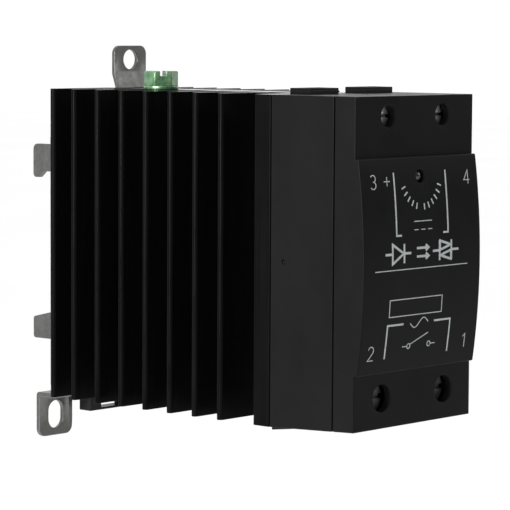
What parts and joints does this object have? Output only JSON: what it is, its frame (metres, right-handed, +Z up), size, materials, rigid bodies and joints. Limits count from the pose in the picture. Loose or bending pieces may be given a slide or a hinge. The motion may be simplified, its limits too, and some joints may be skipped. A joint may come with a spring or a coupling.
{
  "type": "solid state relay",
  "caption": "Black solid state relay with finned heat sink, rail bracket with sprung latch, screw clamp terminals and status lamp.",
  "frame": {"origin": "centre of the 35 mm mounting rail, on the rail's front face, half way across the relay", "axes": "+X to the right seen from the front, +Y to the back towards the rail, +Z up"},
  "size_m": [0.045, 0.1126, 0.1024],
  "materials": {
    "anodised_black": "black anodised extrusion, satin",
    "zinc_steel": "zinc plated sheet, satin",
    "bright_steel": "nickel plated, bright",
    "latch_plastic": "moulded, satin black",
    "spring_steel": "drawn wire",
    "green_steel": "green chromate on steel",
    "black_plastic": "fine textured moulding, black",
    "insulator_plastic": "smooth moulding",
    "silicone": "soft grey pad",
    "plain_aluminium": "milled",
    "white_ceramic": "fired, smooth",
    "silicon": "polished chip",
    "board_laminate": "green solder mask",
    "chip_plastic": "moulded",
    "capacitor_case": "moulded case",
    "resistor_coat": "lacquered",
    "led_epoxy": "clear dark tinted epoxy, unlit",
    "tinned_wire": "tinned",
    "busbar_brass": "tin plated"
  },
  "bodies": {
    "relay_body": {"heat_sink": "anodised_black", "mounting_bracket": "zinc_steel", "bracket_screws": "bright_steel", "latch_spring": "spring_steel", "relay_housing": "black_plastic", "front_cover": "black_plastic", "input_insulator": "insulator_plastic", "output_insulator": "insulator_plastic", "thermal_pad": "silicone", "base_plate": "plain_aluminium", "module_screws": "bright_steel", "ceramic_substrate": "white_ceramic", "thyristor_dies": "silicon", "circuit_board": "board_laminate", "optocoupler": "chip_plastic", "snubber_capacitor": "capacitor_case", "resistors": "resistor_coat", "status_led": "led_epoxy", "led_leads": "tinned_wire", "busbar_1": "busbar_brass", "busbar_2": "busbar_brass", "busbar_3": "busbar_brass", "busbar_4": "busbar_brass"},
    "latch": {"din_latch": "latch_plastic"},
    "ground_washer": {"ground_washer": "green_steel"},
    "ground_screw": {"ground_screw": "green_steel"},
    "terminal_screw_1": {"terminal_screw_1": "bright_steel"},
    "clamp_cage_1": {"clamp_cage_1": "zinc_steel"},
    "terminal_screw_2": {"terminal_screw_2": "bright_steel"},
    "clamp_cage_2": {"clamp_cage_2": "zinc_steel"},
    "terminal_screw_3": {"terminal_screw_3": "bright_steel"},
    "clamp_cage_3": {"clamp_cage_3": "zinc_steel"},
    "terminal_screw_4": {"terminal_screw_4": "bright_steel"},
    "clamp_cage_4": {"clamp_cage_4": "zinc_steel"}
  },
  "joints": [
    {"name": "latch_slide", "type": "slide", "parent": "relay_body", "child": "latch", "axis": [0, 0, -1], "range_m": [0, 0.0035], "stiffness_N_per_m": 1500, "springref_m": -0.003, "deforming": ["latch_spring"]},
    {"name": "ground_lift", "type": "slide", "parent": "relay_body", "child": "ground_washer", "axis": [0, 0, 1], "range_m": [0, 0.0021]},
    {"name": "ground_turn", "type": "hinge", "parent": "ground_washer", "child": "ground_screw", "pos_m": [0, -0.0212, 0.0404], "axis": [0, 0, 1], "range_deg": [0, 1080.5]},
    {"name": "terminal_turn_1", "type": "hinge", "parent": "relay_body", "child": "terminal_screw_1", "pos_m": [0.01187, -0.10255, -0.0319], "axis": [0, 1, 0], "range_deg": [0, 1800.5]},
    {"name": "cage_slide_1", "type": "slide", "parent": "relay_body", "child": "clamp_cage_1", "axis": [0, -1, 0], "range_m": [0, 0.004]},
    {"name": "terminal_turn_2", "type": "hinge", "parent": "relay_body", "child": "terminal_screw_2", "pos_m": [-0.01187, -0.10255, -0.0319], "axis": [0, 1, 0], "range_deg": [0, 1800.5]},
    {"name": "cage_slide_2", "type": "slide", "parent": "relay_body", "child": "clamp_cage_2", "axis": [0, -1, 0], "range_m": [0, 0.004]},
    {"name": "terminal_turn_3", "type": "hinge", "parent": "relay_body", "child": "terminal_screw_3", "pos_m": [-0.01036, -0.10255, 0.03485], "axis": [0, 1, 0], "range_deg": [0, 1800.5]},
    {"name": "cage_slide_3", "type": "slide", "parent": "relay_body", "child": "clamp_cage_3", "axis": [0, -1, 0], "range_m": [0, 0.003]},
    {"name": "terminal_turn_4", "type": "hinge", "parent": "relay_body", "child": "terminal_screw_4", "pos_m": [0.01036, -0.10255, 0.03485], "axis": [0, 1, 0], "range_deg": [0, 1800.5]},
    {"name": "cage_slide_4", "type": "slide", "parent": "relay_body", "child": "clamp_cage_4", "axis": [0, -1, 0], "range_m": [0, 0.003]}
  ],
  "couplings": [
    {"joint": "ground_turn", "follows": "ground_lift", "rad_per_m": 8976},
    {"joint": "terminal_turn_1", "follows": "cage_slide_1", "rad_per_m": 7854},
    {"joint": "terminal_turn_2", "follows": "cage_slide_2", "rad_per_m": 7854},
    {"joint": "terminal_turn_3", "follows": "cage_slide_3", "rad_per_m": 10472},
    {"joint": "terminal_turn_4", "follows": "cage_slide_4", "rad_per_m": 10472}
  ]
}
